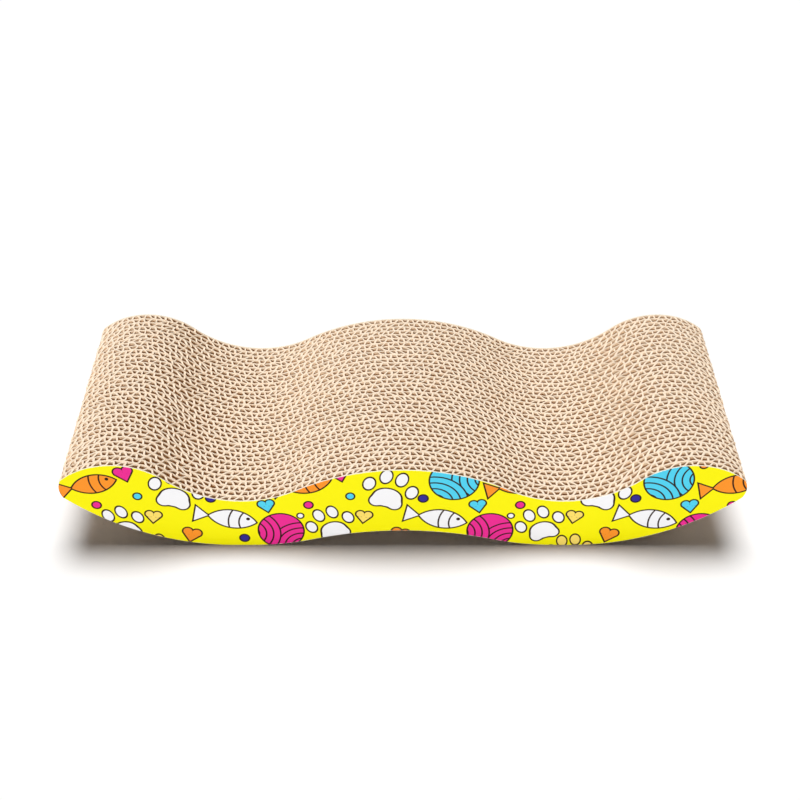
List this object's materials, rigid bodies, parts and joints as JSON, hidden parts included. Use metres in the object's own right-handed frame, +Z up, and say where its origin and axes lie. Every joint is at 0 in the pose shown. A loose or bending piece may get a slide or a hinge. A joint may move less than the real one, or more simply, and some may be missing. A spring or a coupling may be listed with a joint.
{
  "type": "cardboard cat scratcher",
  "caption": "Wave-shaped lounging scratcher: upright corrugated boards with open flutes on top, glued between two printed facings.",
  "frame": {"origin": "centre of the footprint on the floor, under the middle of the low arch", "axes": "+X along the length, +Y from the front facing to the back facing, +Z up"},
  "size_m": [0.47, 0.1812, 0.0735],
  "materials": {
    "corrugated_board": "matt kraft",
    "printed_facing": "satin print"
  },
  "bodies": {
    "root": {"front_facing": "printed_facing", "board_01": "corrugated_board", "board_02": "corrugated_board", "board_03": "corrugated_board", "board_04": "corrugated_board", "board_05": "corrugated_board", "board_06": "corrugated_board", "board_07": "corrugated_board", "board_08": "corrugated_board", "board_09": "corrugated_board", "board_10": "corrugated_board", "board_11": "corrugated_board", "board_12": "corrugated_board", "board_13": "corrugated_board", "board_14": "corrugated_board", "board_15": "corrugated_board", "board_16": "corrugated_board", "board_17": "corrugated_board", "board_18": "corrugated_board", "board_19": "corrugated_board", "board_20": "corrugated_board", "board_21": "corrugated_board", "board_22": "corrugated_board", "board_23": "corrugated_board", "board_24": "corrugated_board", "board_25": "corrugated_board", "board_26": "corrugated_board", "board_27": "corrugated_board", "board_28": "corrugated_board", "board_29": "corrugated_board", "board_30": "corrugated_board", "board_31": "corrugated_board", "board_32": "corrugated_board", "board_33": "corrugated_board", "board_34": "corrugated_board", "board_35": "corrugated_board", "back_facing": "printed_facing"}
  },
  "joints": []
}
